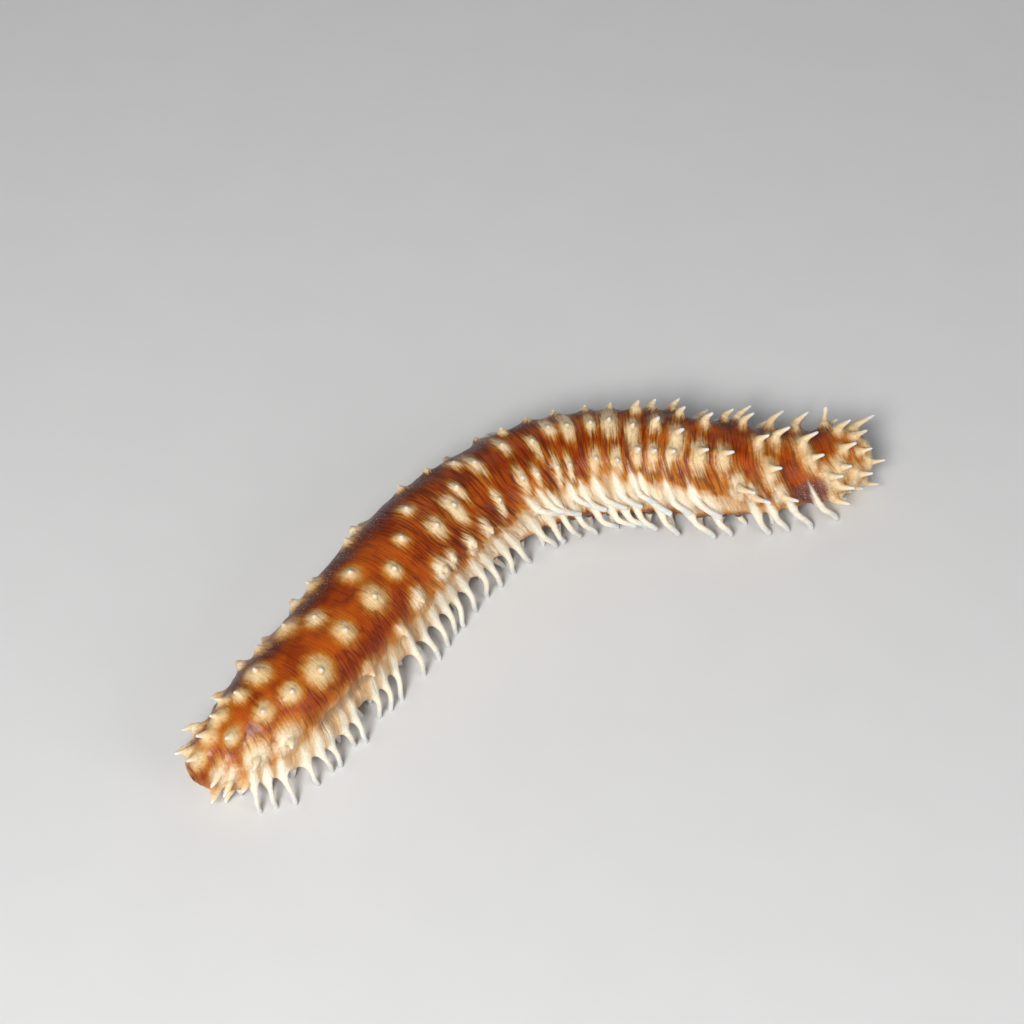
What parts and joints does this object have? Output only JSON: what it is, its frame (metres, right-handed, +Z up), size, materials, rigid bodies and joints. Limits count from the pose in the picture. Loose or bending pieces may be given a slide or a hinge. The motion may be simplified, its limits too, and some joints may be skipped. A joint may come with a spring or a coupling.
{
  "type": "sea cucumber",
  "caption": "Life-size still model of a sea cucumber lying on its sole in one long bend, with papillae along its back and tube feet down both edges.",
  "frame": {"origin": "on the floor, under the middle of the animal's bounding box", "axes": "+X along the longest extent, from the vent towards the mouth; +Z up; the bend opens towards -Y"},
  "size_m": [0.1508, 0.1011, 0.025],
  "materials": {
    "skin": "wet, soft skin, rust orange to red brown with cream spots and bands, and white tube feet",
    "mouth_disc": "wet, pale tan"
  },
  "bodies": {
    "root": {"vent_end": "skin", "hind_body": "skin", "hind_mid_body": "skin", "mid_body": "skin", "fore_mid_body": "skin", "fore_body": "skin", "neck": "skin", "mouth_end": "skin", "mouth": "mouth_disc"}
  },
  "joints": []
}
